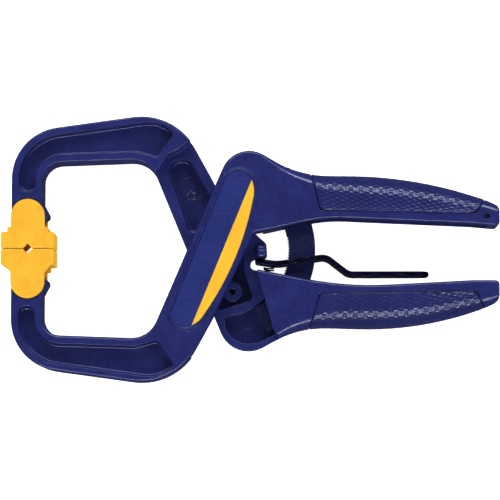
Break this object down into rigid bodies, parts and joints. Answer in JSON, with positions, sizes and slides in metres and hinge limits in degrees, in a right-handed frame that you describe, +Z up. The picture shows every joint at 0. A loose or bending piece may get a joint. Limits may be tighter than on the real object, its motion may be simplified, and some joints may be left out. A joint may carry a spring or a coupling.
{
  "type": "spring clamp",
  "caption": "Scissor-type locking hand clamp with deep C-shaped jaws, swivelling V-grooved pads, rubber-gripped handles, a ratchet arc and a steel release lever.",
  "frame": {"origin": "middle of the bottom of the bounding box, with the clamp lying flat on its side and its jaws closed", "axes": "+X from the jaws towards the handles, +Y towards the fixed jaw, +Z up through the clamp's thickness, along the main pivot"},
  "size_m": [0.2962, 0.1584, 0.026],
  "materials": {
    "arm_resin": "injection-moulded glass-filled nylon, fine spark texture",
    "grip_rubber": "soft overmoulded elastomer with a fine diamond knurl",
    "arc_resin": "moulded glass-filled nylon",
    "pad_resin": "moulded soft yellow resin",
    "label_film": "printed satin label",
    "label_yellow": "printed satin label",
    "lever_steel": "pressed steel, dark blue-black finish worn bright on its edges",
    "bright_steel": "zinc-plated steel",
    "spring_steel": "drawn spring wire"
  },
  "bodies": {
    "fixed_arm": {"fixed_arm": "arm_resin", "lower_grip": "grip_rubber", "pivot_rivet": "bright_steel", "pivot_bushing": "bright_steel", "back_washer": "bright_steel", "front_washer": "bright_steel", "opening_spring": "spring_steel", "lever_spring": "spring_steel", "upper_pad_pin": "bright_steel"},
    "moving_arm": {"moving_arm": "arm_resin", "upper_grip": "grip_rubber", "label_plate": "label_film", "label_stripe": "label_yellow", "ratchet_arc": "arc_resin", "arc_pin_1": "bright_steel", "arc_pin_2": "bright_steel", "lower_pad_pin": "bright_steel"},
    "release_lever": {"release_lever": "lever_steel"},
    "upper_pad": {"upper_pad": "pad_resin"},
    "lower_pad": {"lower_pad": "pad_resin"}
  },
  "joints": [
    {"name": "main_pivot", "type": "hinge", "parent": "fixed_arm", "child": "moving_arm", "pos_m": [-0.0183, 0, 0.013], "axis": [0, 0, 1], "range_deg": [0, 40]},
    {"name": "lever_hinge", "type": "hinge", "parent": "fixed_arm", "child": "release_lever", "pos_m": [0.0043, -0.0072, 0.013], "axis": [0, 0, 1], "range_deg": [-4, 0], "stiffness_Nm_per_rad": 0.6, "springref_deg": 5.73, "deforming": ["lever_spring"]},
    {"name": "upper_pad_swivel", "type": "hinge", "parent": "fixed_arm", "child": "upper_pad", "pos_m": [-0.1323, 0.0196, 0.013], "axis": [0, 0, 1], "range_deg": [0, 20]},
    {"name": "lower_pad_swivel", "type": "hinge", "parent": "moving_arm", "child": "lower_pad", "pos_m": [-0.1323, -0.0196, 0.013], "axis": [0, 0, 1], "range_deg": [-20, 0]}
  ],
  "couplings": [
    {"joint": "upper_pad_swivel", "follows": "main_pivot", "ratio": 0.5},
    {"joint": "lower_pad_swivel", "follows": "main_pivot", "ratio": -0.5}
  ]
}
